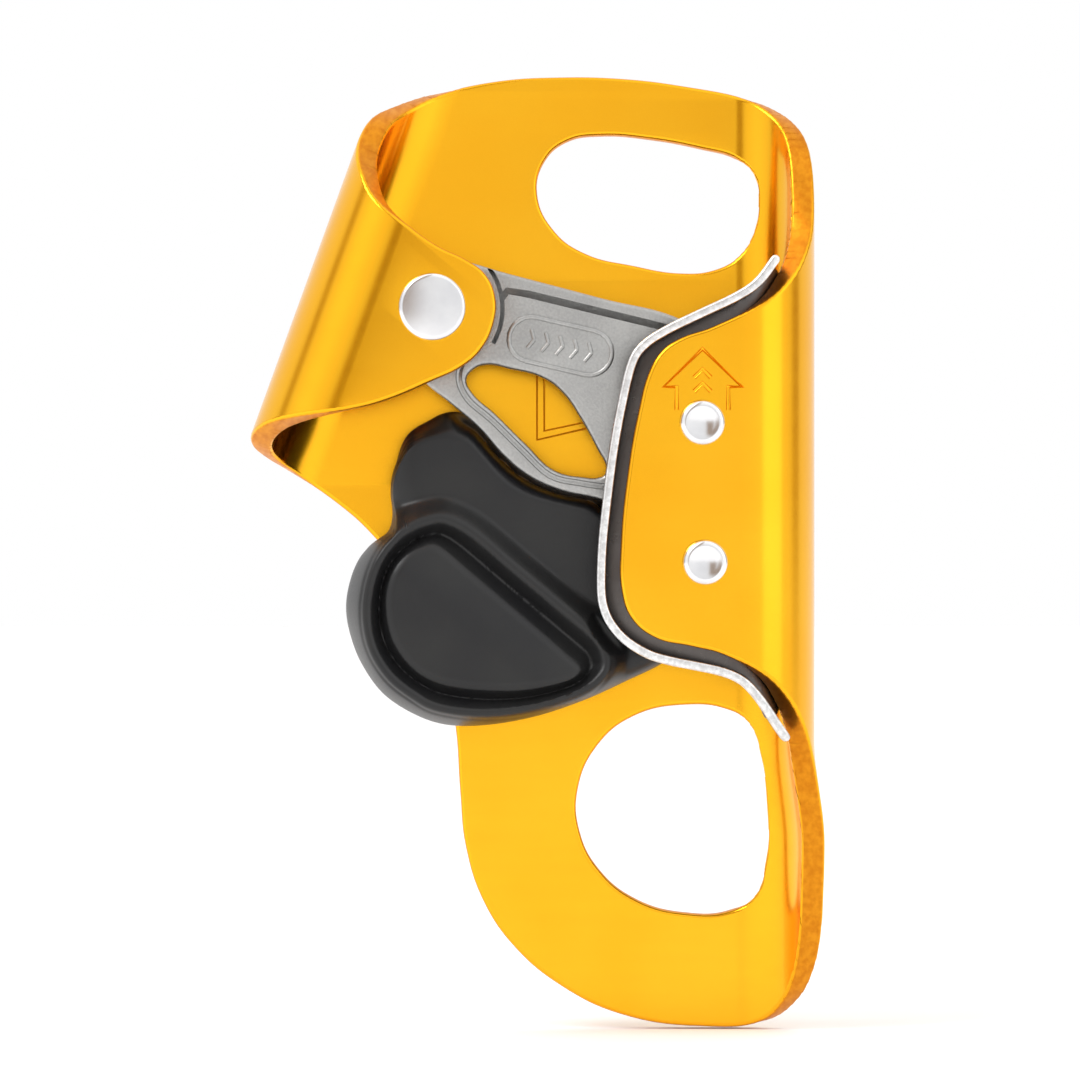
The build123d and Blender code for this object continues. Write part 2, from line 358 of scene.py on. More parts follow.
def linerPaint():  # dull sheet, painted near black as shade deeper than the lip's top, its cut edge ground bright
    paint = Paint("linerSteel", Metallic=1.0)
    depth = paint.node("SeparateXYZ", {}, paint.place, output=1) * (-1 / mm)
    bright = paint.ramp(depth, linerLook["dullAndShaded"], linerLook["bright"])
    scratch = paint.grain(linerLook["scratch"], detail=3.0, stretch=(1, 0.2, 1))
    worn = paint.mix(paint.grain(linerLook["cloud"]), linerLook["face"], linerLook["faceDeep"])
    # painted shade: deeper than sunk the sheet takes the near-black shade colour, fading to its own steel
    # tone by clear
    dullAndShaded = paint.mix(paint.ramp(depth, linerLook["sunk"], linerLook["clear"]), linerLook["shade"], worn)
    ground = paint.mix(paint.ramp(scratch, 0.3, 0.7), linerLook["edge"], linerLook["edgeDeep"])
    rough = linerLook["rough"] + (scratch - 0.5) * linerLook["spread"]
    return paint.drive(Base_Color=paint.mix(bright, dullAndShaded, ground), Roughness=rough,
                       Normal=paint.bump(scratch, 0.4, 0.02 * mm))


plasticLook = dict(tone=(0.009, 0.009, 0.010), toneDeep=(0.013, 0.013, 0.013), cloud=120.0,
                   pores=4200.0, rough=0.38, spread=0.12)


def plasticPaint():
    paint = Paint("catchPlastic", Metallic=0.0, IOR=1.42)
    cloud = paint.grain(plasticLook["cloud"])
    pores = paint.grain(plasticLook["pores"])
    tone = paint.mix(paint.ramp(cloud, 0.3, 0.7), plasticLook["tone"], plasticLook["toneDeep"])
    rough = plasticLook["rough"] + (pores - 0.5) * plasticLook["spread"]
    return paint.drive(Base_Color=tone, Roughness=rough, Normal=paint.bump(pores, 0.35, 0.03 * mm))


gold = goldPaint()
castSteel = steelPaint("castSteel", (0.44, 0.44, 0.43), (0.36, 0.36, 0.355), 0.42, 0.16, 3600.0, 0.05)
rivetSteel = steelPaint("rivetSteel", (0.80, 0.80, 0.81), (0.73, 0.73, 0.75), 0.17, 0.05, 500.0, 0.004)
springSteel = steelPaint("springSteel", (0.60, 0.60, 0.60), (0.45, 0.45, 0.46), 0.28, 0.1, 2000.0, 0.01)
linerSteel = linerPaint()
blackPlastic = plasticPaint()
print("materials made")

sheet = dict(  # one folded aluminium sheet
    thickness=2.6, rim=0.42, arc=7.5, strips=36,
    channelX=6.6, lean=20.0, earBend=48.9,
    flare=1.18, flareTop=8.0, flareFull=-4.0,
    axle=(-26.3, 55.0), axleHole=3.0,
    rivets=[(2.9, 42.5), (3.2, 27.4)], rivetHole=1.5,
    # cut line round each bend: degrees from the back plate, height along the bend
    channelTop=[(18, 78.4), (36, 77.3), (54, 75.7), (68, 73.9), (80, 71.4), (92, 67.7), (104, 63.8),
                (118, 61.3), (136, 58.5), (158, 55.8)],
    channelFoot=[(158, 15.0), (140, 12.6), (118, 8.7), (100, 4.6), (90, -1.5), (84, -8.0), (77, -13.2),
                 (62, -18.2), (46, -21.2), (24, -23.4)],
    earTop=[(180, 50.1), (150, 51.7), (125, 54.2), (100, 57.0), (77, 60.1), (50, 62.6), (24, 65.2)],
    earFoot=[(28, 20.7), (50, 21.2), (77, 22.0), (100, 23.2), (125, 24.9), (150, 26.6), (180, 28.8)],
    # front sheets: x and z on the channel side, distance across and along the leaning bend on the ear
    flap=[(4.0, 52.9), (0.4, 51.6), (-1.4, 50.4), (-2.7, 48.4), (-4.1, 43.3), (-5.2, 36.8), (-5.9, 29.5),
          (-5.8, 24.2), (-4.8, 21.4), (-2.3, 19.3), (1.8, 18.3), (5.0, 17.5)],
    ear=[(45.4, 31.1), (41.2, 34.9), (38.2, 38.0), (37.0, 40.4), (36.75, 43.3), (37.5, 46.0), (39.4, 48.0),
         (41.8, 48.75), (45.2, 49.1)],
    flatLimit=0.9999, edgeFrom=0.35, edgeBlend=0.4,  # how far a face may lean and still be flat or cut
    plateTop=[(-19.1, 80.65), (-12.5, 81.05), (-5.8, 80.9), (1.0, 80.1)],
    plateFoot=[(3.2, -24.0), (-5.9, -22.6), (-12.2, -19.6), (-17.4, -15.3), (-20.9, -10.2), (-22.9, -4.0),
               (-23.5, 2.0), (-24.0, 9.0), (-25.4, 16.5), (-29.0, 25.0), (-33.6, 30.8), (-36.6, 33.5)],
    upperEye=[(-8.0, 74.6), (-2.4, 74.2), (3.0, 73.2), (7.2, 72.0), (9.5, 70.1), (10.1, 67.2), (9.3, 63.6),
              (7.4, 61.2), (4.6, 59.7), (0.9, 59.35), (-4.4, 60.2), (-9.6, 61.5), (-13.0, 63.9),
              (-15.0, 68.2), (-14.1, 71.9), (-11.6, 74.0)],
    lowerEye=[(1.6, 11.6), (-4.4, 10.3), (-8.4, 7.0), (-10.5, 2.2), (-10.3, -2.4), (-8.2, -6.6),
              (-4.0, -10.0), (1.6, -11.5), (6.4, -11.2), (9.1, -9.5), (10.4, -5.4), (10.75, 0.0),
              (10.4, 5.8), (8.9, 9.4), (6.0, 11.1)],
    # stamped lines: an arrow with a bar on the flap, an angle on the back plate
    stampRadius=0.27, stampRise=0.05, angleRadius=0.15,
    arrow=[(0.1, 43.9), (0.1, 46.4), (-1.3, 46.4), (2.9, 50.5), (7.1, 46.4), (5.7, 46.4), (5.7, 43.9)],
    arrowBars=[[(2.0, 47.4), (2.9, 48.3), (3.8, 47.4)], [(2.0, 45.9), (2.9, 46.8), (3.8, 45.9)]],
    angle=[(-15.0, 50.0), (-15.0, 40.9), (-8.6, 42.4), (-8.6, 43.1), (-14.2, 41.9), (-14.2, 50.0)],
)
bendDepth = sheet["arc"] + sheet["thickness"] / 2  # both bends turn about lines at this depth
flapFront = 2 * sheet["arc"] + sheet["thickness"]


def leaning(across, along):
    tilt = math.radians(sheet["lean"])
    return (along * math.sin(tilt) - across * math.cos(tilt),
            along * math.cos(tilt) + across * math.sin(tilt))


def acrossAlong(x, z):
    tilt = math.radians(sheet["lean"])
    return (z * math.sin(tilt) - x * math.cos(tilt), z * math.cos(tilt) + x * math.sin(tilt))


def aroundChannel(degrees, height):
    return (sheet["channelX"] + sheet["arc"] * math.radians(degrees), height)


def aroundEar(degrees, height):
    return leaning(sheet["earBend"] + sheet["arc"] * math.radians(degrees), height)


def flapOnBlank(x, z):
    return (2 * sheet["channelX"] + sheet["arc"] * math.pi - x, z)


def earOnBlank(across, along):
    return leaning(2 * sheet["earBend"] + sheet["arc"] * math.pi - across, along)


def blankLoops():
    edge = [aroundChannel(*p) for p in sheet["channelTop"]]
    edge += [flapOnBlank(*p) for p in sheet["flap"]]
    edge += [aroundChannel(*p) for p in sheet["channelFoot"]]
    edge += sheet["plateFoot"]
    edge += [aroundEar(*p) for p in sheet["earFoot"]]
    edge += [earOnBlank(*p) for p in sheet["ear"]]
    edge += [aroundEar(*p) for p in sheet["earTop"]]
    edge += sheet["plateTop"]
    holes = [circleLoop(*sheet["axle"], sheet["axleHole"]),
             circleLoop(*earOnBlank(*acrossAlong(*sheet["axle"])), sheet["axleHole"])]
    holes += [circleLoop(*flapOnBlank(*p), sheet["rivetHole"]) for p in sheet["rivets"]]
    return [edge, sheet["upperEye"], sheet["lowerEye"]] + holes


def stampLines(piece):
    rise = sheet["stampRise"]
    for line in [sheet["arrow"], *sheet["arrowBars"]]:  # the flap's front is the blank's rear
        bar = roundBar("stamp", [flapOnBlank(*p) for p in line], sheet["stampRadius"], -rise)
        combine(piece, bar, "DIFFERENCE")
    bar = roundBar("stamp", sheet["angle"], sheet["angleRadius"], sheet["thickness"], closed=True)
    combine(piece, bar, "DIFFERENCE")


def turnPoints(degrees, axis, centre):  # with no window transform.rotate turns the other way
    bpy.ops.transform.rotate(value=-math.radians(degrees), orient_axis=axis, center_override=centre)


def cutLines(piece, lines):
    for line in lines:
        pickAll(piece)
        bpy.ops.mesh.bisect(plane_co=(line * mm, 0, 0), plane_no=(1, 0, 0), threshold=1e-7)
        leaveEdit()


def foldLines(start, side, arc, strips):
    return [start + side * arc * math.pi / strips * (k + 0.5) for k in range(strips)]


def fold(piece, flat, lines, side, depth):
    # all past a line turns about it, the far lines first, so that the near ones are still flat
    for line in reversed(lines):
        pickInEdit(piece, [side * (x - line * mm) > 1e-7 for x in flat])
        turnPoints(-side * 180 / len(lines), "Z", (line * mm, -depth * mm, 0))
        leaveEdit()


def turnBlank(piece, degrees):
    piece.rotation_euler = (0, math.radians(degrees), 0)
    settle(piece)


def cornerNormals(piece, gentle=0.55, blend=0.6):
    # the two faces look straight out and the rounded rim blends into them, stamped lines keep their own
    mesh = piece.data
    flat = [abs(face.normal.y) > sheet["flatLimit"] for face in mesh.polygons]
    meets = {}
    for face in mesh.polygons:
        for corner in face.vertices:
            meets.setdefault(corner, []).append(face.index)
    normals = []
    for face in mesh.polygons:
        for corner in face.vertices:
            around = meets[corner]
            if flat[face.index]:
                normals.append(Vector((0, math.copysign(1, face.normal.y), 0)))
            elif abs(face.normal.y) > gentle and any(flat[i] for i in around):
                normals.append(Vector((0, math.copysign(1, face.normal.y), 0)))
            else:
                near = [mesh.polygons[i].normal for i in around
                        if not flat[i] and mesh.polygons[i].normal.dot(face.normal) > blend]
                normals.append(sum(near, Vector()).normalized())
    return normals


def markCutEdge(piece, normals):  # 1 on the sheet's cut edge, 0 on its two faces
    tilt = np.array([abs(normal.y) for normal in normals])
    mark = piece.data.attributes.new("cutEdge", "FLOAT", "CORNER")
    mark.data.foreach_set("value", 1 - np.clip((tilt - sheet["edgeFrom"]) / sheet["edgeBlend"], 0, 1))


def openFlange(piece, flat):  # below the flap the channel's bend opens out towards its foot
    top, full = sheet["flareTop"] * mm, sheet["flareFull"] * mm
    for point, x in zip(piece.data.vertices, flat):
        angle = min(max((x / mm - sheet["channelX"]) / sheet["arc"], 0), math.pi)
        share = min(max((top - point.co.z) / (top - full), 0), 1)
        grow = sheet["flare"] * mm * share * share * (3 - 2 * share)
        point.co.x += grow * math.sin(angle)
        point.co.y -= grow * (1 - math.cos(angle))


def bendAngle(place, start, arc):
    return min(max((place / mm - start) / arc, 0), math.pi)


def foldNormals(piece, normals, flatChannel, flatEar):
    tilt = math.radians(sheet["lean"])
    earAxis = Vector((math.sin(tilt), 0, math.cos(tilt)))
    turned = []
    for loop, normal in zip(piece.data.loops, normals):
        channel = bendAngle(flatChannel[loop.vertex_index], sheet["channelX"], sheet["arc"])
        ear = bendAngle(-flatEar[loop.vertex_index], sheet["earBend"], sheet["arc"])
        turn = Matrix.Rotation(-channel, 3, "Z") @ Matrix.Rotation(ear, 3, earAxis)
        turned.append(turn @ normal)
    makeActive(piece)
    bpy.ops.object.shade_smooth()
    piece.data.normals_split_custom_set(turned)


def makeFrame():
    piece = flatSheet("frameSheet", blankLoops(), 0, sheet["thickness"], sheet["rim"])
    stampLines(piece)
    middle = sheet["thickness"] / 2
    channelLines = foldLines(sheet["channelX"], 1, sheet["arc"], sheet["strips"])
    earLines = foldLines(-sheet["earBend"], -1, sheet["arc"], sheet["strips"])
    cutLines(piece, channelLines)
    turnBlank(piece, -sheet["lean"])
    cutLines(piece, earLines)
    flatEar = [v.co.x for v in piece.data.vertices]
    turnBlank(piece, sheet["lean"])
    flatChannel = [v.co.x for v in piece.data.vertices]
    normals = cornerNormals(piece)
    markCutEdge(piece, normals)
    fold(piece, flatChannel, channelLines, 1, middle)
    turnBlank(piece, -sheet["lean"])
    fold(piece, flatEar, earLines, -1, middle)
    turnBlank(piece, sheet["lean"])
    openFlange(piece, flatChannel)
    foldNormals(piece, normals, flatChannel, flatEar)
    return piece


frameSheet = makeFrame()
finishPiece(frameSheet, gold, "frame", "frame_body")
print("frame folded", len(frameSheet.data.vertices))

liner = dict(  # steel liner inside the channel, with a lip that stands up round the flap
    thickness=1.0, rim=0.2, arc=5.7, strips=24, back=2.6,
    lipBack=14.02, lipFront=17.2, lipWide=1.0, lipRim=0.28, flatEnd=1.5, rootFall=1.6,
    top=[(100, 46), (113, 51), (126, 55), (137, 59.6), (148, 59), (158, 57.6), (172, 56.3)],
    foot=[(172, 14.9), (158, 13.0), (148, 11.2), (139, 10.4), (126, 15.5), (113, 20), (100, 24)],
    lip=[(10.8, 60.2), (8.92, 57.75), (6.54, 56.13), (2.65, 54.29), (-0.93, 52.55), (-3.31, 51.0),
         (-4.66, 49.09), (-5.7, 44.98), (-6.66, 39.79), (-7.35, 34.59), (-7.9, 29.4), (-8.05, 24.6),
         (-7.7, 22.3), (-6.8, 20.5), (-5.3, 18.9), (-2.98, 17.5), (-0.71, 16.8), (2.0, 16.25), (5.0, 15.6),
         (7.08, 14.7), (8.6, 13.27), (9.9, 11.5), (11.0, 9.8), (11.9, 8.5)],
)


def smoothPath(places, each, closed=False):  # even curve through the places, as a dense list
    knots = np.array(places)
    if closed:
        knots = np.vstack([knots[-1], knots, knots[0], knots[1]])
    else:
        knots = np.vstack([2 * knots[0] - knots[1], knots, 2 * knots[-1] - knots[-2]])
    dense = []
    for a, b, c, d in zip(knots, knots[1:], knots[2:], knots[3:]):
        for t in np.arange(each) / each:
            dense.append(0.5 * (2 * b + (c - a) * t + (2 * a - 5 * b + 4 * c - d) * t ** 2
                                + (3 * b - a - 3 * c + d) * t ** 3))
    if not closed:
        dense.append(knots[-2])
    return np.array(dense)


def bandLoop(path, wide, endPoints=7):  # outline of a band of even width with round ends
    along = np.gradient(path, axis=0)
    along /= np.linalg.norm(along, axis=1)[:, None]
    side = np.column_stack([-along[:, 1], along[:, 0]]) * wide / 2
    left, right = path + side, path - side
    turns = np.linspace(0, np.pi, endPoints)[1:-1, None]
    far = path[-1] + side[-1] * np.cos(turns) + along[-1] * wide / 2 * np.sin(turns)
    near = path[0] - side[0] * np.cos(turns) - along[0] * wide / 2 * np.sin(turns)
    return [tuple(p) for p in np.vstack([left, far, right[::-1], near])]


def makeLiner():
    onBlank = [(liner["arc"] * math.radians(a) + sheet["channelX"], z) for a, z in liner["top"]]
    flatEdge = [(x, z) for x, z in liner["lip"] if x < sheet["channelX"] - liner["flatEnd"]]
    turnOver = 2 * sheet["channelX"] + liner["arc"] * math.pi
    onBlank += [(turnOver - x, z) for x, z in flatEdge]
    onBlank += [(liner["arc"] * math.radians(a) + sheet["channelX"], z) for a, z in liner["foot"]]
    holes = [circleLoop(turnOver - x, z, sheet["rivetHole"]) for x, z in sheet["rivets"]]
    back = liner["back"]
    piece = flatSheet("wearLiner", [onBlank] + holes, back, back + liner["thickness"], liner["rim"],
                      rimSteps=1)
    lines = foldLines(sheet["channelX"], 1, liner["arc"], liner["strips"])
    cutLines(piece, lines)
    fold(piece, [v.co.x for v in piece.data.vertices], lines, 1, back + liner["thickness"] / 2)
    band = bandLoop(smoothPath(liner["lip"], 6), liner["lipWide"])
    lip = flatSheet("wearLip", [band], liner["lipBack"], liner["lipFront"], liner["lipRim"], kind="POLY")
    for point in lip.data.vertices:  # past the flat the lip's root follows the liner round the bend
        reach = point.co.x / mm - sheet["channelX"]
        if reach > 0 and -point.co.y / mm < (liner["lipBack"] + liner["lipFront"]) / 2:
            fall = liner["arc"] - math.sqrt(max(liner["arc"] ** 2 - reach ** 2, 0))
            point.co.y += min(fall, liner["rootFall"]) * mm
    joinInto(piece, [lip])
    smoothBy(piece, 35)
    return piece


wearLiner = makeLiner()
finishPiece(wearLiner, linerSteel, "wear_plate", "frame_body")
print("liner made", len(wearLiner.data.vertices))

camPart = dict(
    webBack=9.8, webFront=13.3, back=4.3, blockFront=13.22, rim=0.4,
    boss=5.9, bossBack=6.6, bossFront=13.12, hole=3.05,
    spiralAngle=28.0, spiralReach=37.5, faceTop=-5.5, faceFoot=-36.7, teeth=15, toothHeight=0.9,
    barrelRadius=4.6, barrelTall=90.0, barrelReach=60.0, throughDepth=20.0,
    web=[(-24.4, 60.55), (-18.0, 58.8), (-8.0, 56.15), (1.0, 53.7), (3.4, 52.0), (4.0, 48.0), (3.4, 40.0),
         (1.0, 33.0), (-1.4, 31.6), (-7.9, 34.2), (-12.6, 35.3), (-16.0, 36.85), (-18.6, 39.0),
         (-21.2, 41.95), (-24.25, 44.6), (-27.2, 47.0), (-30.0, 50.4), (-32.0, 54.0), (-31.6, 57.4),
         (-29.4, 60.0), (-27.0, 60.85)],
    window=[(-21.9, 48.45), (-20.6, 48.95), (-17.9, 48.5), (-14.2, 47.45), (-12.1, 45.8), (-10.1, 42.9),
            (-8.3, 39.6), (-7.45, 37.9), (-7.6, 37.0), (-8.4, 36.6), (-9.9, 36.65), (-13.1, 37.4),
            (-16.2, 40.25), (-19.6, 43.6), (-22.1, 45.9), (-22.7, 47.3)],
    blockTop=[(0.4, 53.9), (-2.2, 46.0), (-4.6, 38.0), (-5.0, 33.6)],
    lugBack=6.6, lugFront=9.0, pin=(-2.76, 26.04), pinRadius=1.5, lugRadius=3.4,
    ribLine=[(-18.9, 56.1), (-18.2, 56.95), (-16.0, 56.6), (-3.6, 53.6), (2.4, 52.1)],
    armLine=[(-22.2, 50.9), (-23.1, 49.2), (-23.5, 47.3), (-22.5, 45.1), (-19.9, 42.85), (-16.7, 39.7),
             (-13.6, 36.85), (-10.2, 36.0), (-7.4, 35.6)],
    ribRadius=0.4, armRadius=0.35, bossRadius=0.26, bossGroove=7.55, grooveRise=0.05,
    emblem=(-12.45, 50.95), emblemLong=11.4, emblemTall=4.9, emblemTurn=-13.0, emblemRadius=0.3,
    emblemBars=[-3.2, -1.6, 0.0, 1.6, 3.2], barRadius=0.25, barLean=0.55, barReach=1.05, emblemSink=0.08,
)


def polarPlace(radius, degrees):
    turn = math.radians(degrees)
    return (sheet["axle"][0] + radius * math.cos(turn), sheet["axle"][1] + radius * math.sin(turn))


def toothedFace():
    growth = math.tan(math.radians(camPart["spiralAngle"]))
    reach = camPart["spiralReach"] / math.cos(math.radians(camPart["spiralAngle"]))
    steps = 2 * camPart["teeth"]
    places = []
    for i in range(steps + 1):
        angle = camPart["faceTop"] + (camPart["faceFoot"] - camPart["faceTop"]) * i / steps
        radius = reach * math.exp(-growth * math.radians(angle + camPart["spiralAngle"]))
        places.append(polarPlace(radius - camPart["toothHeight"] * (i % 2), angle))
    return places


def emblemPlace(across, up):
    turn = math.radians(camPart["emblemTurn"])
    x, z = camPart["emblem"]
    return (x + across * math.cos(turn) - up * math.sin(turn),
            z + across * math.sin(turn) + up * math.cos(turn))


def emblemRing():
    half = camPart["emblemTall"] / 2
    straight = camPart["emblemLong"] / 2 - half
    ring = arcPlaces(straight, 0, half, -90, 90, 13) + arcPlaces(-straight, 0, half, 90, 270, 13)
    return [emblemPlace(*p) for p in ring]


def camBarrel():  # what the cam may fill in the rope channel: straight sides, then half a barrel
    radius, tall = camPart["barrelRadius"], camPart["barrelTall"]
    x = sheet["channelX"]
    block = addBlock("barrelSide", (-camPart["barrelReach"], bendDepth - radius, 0),
                     (x, bendDepth + radius, tall))
    clearSelection()
    bpy.ops.mesh.primitive_cylinder_add(vertices=96, radius=radius * mm, depth=tall * mm,
                                        location=(x * mm, -bendDepth * mm, tall / 2 * mm))
    barrel = bpy.context.object
    settle(barrel)
    combine(barrel, block, "UNION")
    return barrel


def cutGroove(piece, places, radius, rise=0.0):
    bar = roundBar("groove", places, radius, camPart["webFront"] + rise)
    combine(piece, bar, "DIFFERENCE")


def makeCam():
    web = flatSheet("camCast", [camPart["web"], camPart["window"]], camPart["webBack"], camPart["webFront"],
                    camPart["rim"])
    block = flatSheet("camBlock", [camPart["blockTop"][:1] + toothedFace() + camPart["blockTop"][:0:-1]],
                      camPart["back"], camPart["blockFront"], 0.0, kind="VECTOR")
    combine(block, camBarrel(), "INTERSECT")
    combine(web, block, "UNION")
    boss = addRod("camBoss", *sheet["axle"], camPart["boss"], camPart["bossBack"], camPart["bossFront"])
    combine(web, boss, "UNION")
    pinX, pinZ = camPart["pin"]
    foot = arcPlaces(pinX, pinZ, camPart["lugRadius"], 160, 380, 24)
    lug = flatSheet("camLug", [foot + [(2.4, 34.0), (-4.4, 34.0)]], camPart["lugBack"], camPart["lugFront"],
                    0.0, kind="POLY")
    combine(web, lug, "UNION")
    through = camPart["throughDepth"]
    combine(web, addRod("axleHole", *sheet["axle"], camPart["hole"], 0, through), "DIFFERENCE")
    combine(web, addRod("pinHole", pinX, pinZ, camPart["pinRadius"], 0, through), "DIFFERENCE")
    cutGroove(web, camPart["ribLine"], camPart["ribRadius"])
    cutGroove(web, [tuple(p) for p in smoothPath(camPart["armLine"], 5)], camPart["armRadius"])
    cutGroove(web, arcPlaces(*sheet["axle"], camPart["bossGroove"], -30, 45, 16),
              camPart["bossRadius"], camPart["grooveRise"])
    smoothBy(web, 32)
    rise = camPart["webFront"] - camPart["emblemSink"]
    marks = [roundBar("emblemRim", emblemRing(), camPart["emblemRadius"], rise, closed=True)]
    for across in camPart["emblemBars"]:
        lean, reach = camPart["barLean"], camPart["barReach"]
        for side in (-1, 1):
            ends = [emblemPlace(across - lean / 2, side * reach), emblemPlace(across + lean / 2, 0)]
            marks.append(roundBar("emblemBar", ends, camPart["barRadius"], rise))
    for mark in marks:
        smoothBy(mark, 60)
    joinInto(web, marks)
    return web


camCast = makeCam()
finishPiece(camCast, castSteel, "cam", "cam_body")
print("cam made", len(camCast.data.vertices))

catchPart = dict(
    centre=(-20.0, 20.0), back=4.5, plateau=13.15, pad=17.2, padLow=15.4, padEdge=0.6, padBlend=2.6,
    islandSink=0.3, grooveDeep=1.7, valleySoft=0.12, softEdge=0.6, crownSoft=1.6, softDrop=0.3,
    seamAt=1.15, seamWide=0.16, seamDeep=0.22, seamFade=3.6,
    chord=(-15.4, 25.3), chordAcross=(-0.63, -0.777), chordRun=9.0,
    rows=110, crowd=0.85, columns=420, easeColumns=9, sideRows=10, roundRows=4, baseRows=5,
    baseRound=0.7, edgeRound=2.2, edgeFall=3.0, wideFade=3.0, roundShare=0.98,
    outline=[(-29.4, 43.0), (-26.6, 43.4), (-23.8, 43.9), (-21.2, 42.9), (-18.2, 39.7), (-15.6, 37.5),
             (-12.4, 36.1), (-8.2, 35.0), (-5.4, 32.1), (-2.4, 30.4), (0.2, 29.3), (1.6, 27.2), (1.7, 24.4),
             (1.2, 21.0), (0.4, 18.2), (-1.24, 16.4), (-4.4, 14.8), (-9.6, 12.5), (-14.9, 10.7),
             (-20.1, 9.7), (-24.6, 9.6), (-28.2, 10.7), (-31.7, 12.95), (-34.05, 16.1), (-35.35, 19.2),
             (-35.9, 22.2), (-35.55, 25.0), (-34.5, 27.7), (-32.6, 30.0), (-31.75, 31.5), (-31.75, 33.9),
             (-32.2, 36.4), (-32.05, 38.9), (-30.9, 41.6)],
    plateauEdge=[(-27.0, 40.7), (-23.2, 40.6), (-21.3, 38.9), (-19.2, 36.4), (-16.4, 34.5), (-12.0, 33.4),
                 (-8.0, 32.2), (-2.0, 29.6), (0.9, 26.0), (0.5, 20.0), (-2.0, 17.4), (-10.0, 14.0),
                 (-20.0, 11.5), (-30.0, 13.0), (-33.5, 20.0), (-33.5, 26.0), (-30.0, 30.5), (-27.6, 33.4),
                 (-27.95, 36.0), (-27.9, 39.0)],
    groove=[(-24.6, 31.4), (-26.4, 31.5), (-29.4, 30.2), (-31.8, 27.2), (-32.9, 22.9), (-32.5, 18.8),
            (-30.7, 15.6), (-28.0, 13.4), (-25.4, 12.1), (-20.3, 11.5), (-15.0, 12.1), (-10.4, 13.6),
            (-8.3, 15.5), (-8.0, 17.0), (-8.9, 18.8), (-12.5, 21.9), (-18.0, 26.5), (-22.0, 29.9)],
    island=[(-25.7, 29.3), (-27.4, 29.2), (-29.4, 28.0), (-30.9, 25.8), (-31.4, 22.7), (-30.6, 18.8),
            (-28.0, 15.5), (-24.1, 13.9), (-17.5, 13.5), (-12.6, 14.3), (-10.6, 15.2), (-10.3, 16.3),
            (-12.0, 17.8), (-18.0, 22.9), (-22.5, 26.7)],
    camOpen=36.0, catchOpen=8.0, openSteps=9,
    clearRadius=6.08, clearAlong=0.6, drawStep=0.008, drawSteps=60, earFootLow=19.2, earFootRise=8.9,
    armStart=-25.0, armGrow=2.0, armFrom=-20.0, armSlope=-0.35, armRise=31.4, armBlend=4.0,
    armFall=4.5, armReach=1.3, armLeast=0.2,
    lipRoof=13.6, lipGap=0.9, lipSlope=1.6, lipBeyond=20.0,
)


def insideDistance(places, loop):  # distance to a closed line, above zero inside it
    ends = np.roll(loop, -1, axis=0)
    best = np.full(len(places), 1e9)
    inside = np.zeros(len(places), bool)
    for a, b in zip(loop, ends):
        run = b - a
        share = np.clip(((places - a) @ run) / (run @ run + 1e-12), 0, 1)
        best = np.minimum(best, np.hypot(*(places - a - share[:, None] * run).T))
        crosses = (a[1] > places[:, 1]) != (b[1] > places[:, 1])
        rise = b[1] - a[1] if b[1] != a[1] else 1e-12
        inside ^= crosses & (places[:, 0] < a[0] + (places[:, 1] - a[1]) * run[0] / rise)
    return np.where(inside, best, -best)


def easeIn(value):
    value = np.clip(value, 0, 1)
    return value * value * (3 - 2 * value)


def turned(x, z, centre, degrees):
    c, s = math.cos(math.radians(degrees)), math.sin(math.radians(degrees))
    cx, cz = centre
    return cx + (x - cx) * c + (z - cz) * s, cz - (x - cx) * s + (z - cz) * c


def underLip(places):  # how high the catch may stand as it moves past the liner's lip
    beyond = catchPart["lipBeyond"]
    zone = np.vstack([smoothPath(liner["lip"], 4),
                      [(beyond, liner["lip"][-1][1]), (beyond, liner["lip"][0][1])]])
    cap = np.full(len(places), 99.0)
    for share in (0, 0.5, 1):
        moved = turned(*places.T, camPart["pin"], -catchPart["catchOpen"] * share)
        clear = -insideDistance(np.column_stack(moved), zone) - catchPart["lipGap"]
        cap = np.minimum(cap, catchPart["lipRoof"] + catchPart["lipSlope"] * np.maximum(clear, 0))
    return cap


def roundedDrop(share):  # quarter round, 0 at 0, that stops short of upright at 1
    return 1 - np.sqrt(1 - share ** 2 * catchPart["roundShare"])


def beforeArm(places):  # 1 where the catch passes behind the cam's arm
    line = catchPart["armRise"] + catchPart["armSlope"] * (places[:, 0] - catchPart["armFrom"])
    arm = easeIn((places[:, 1] - line) / catchPart["armBlend"])
    return arm * easeIn((places[:, 0] - catchPart["armStart"]) / catchPart["armGrow"])


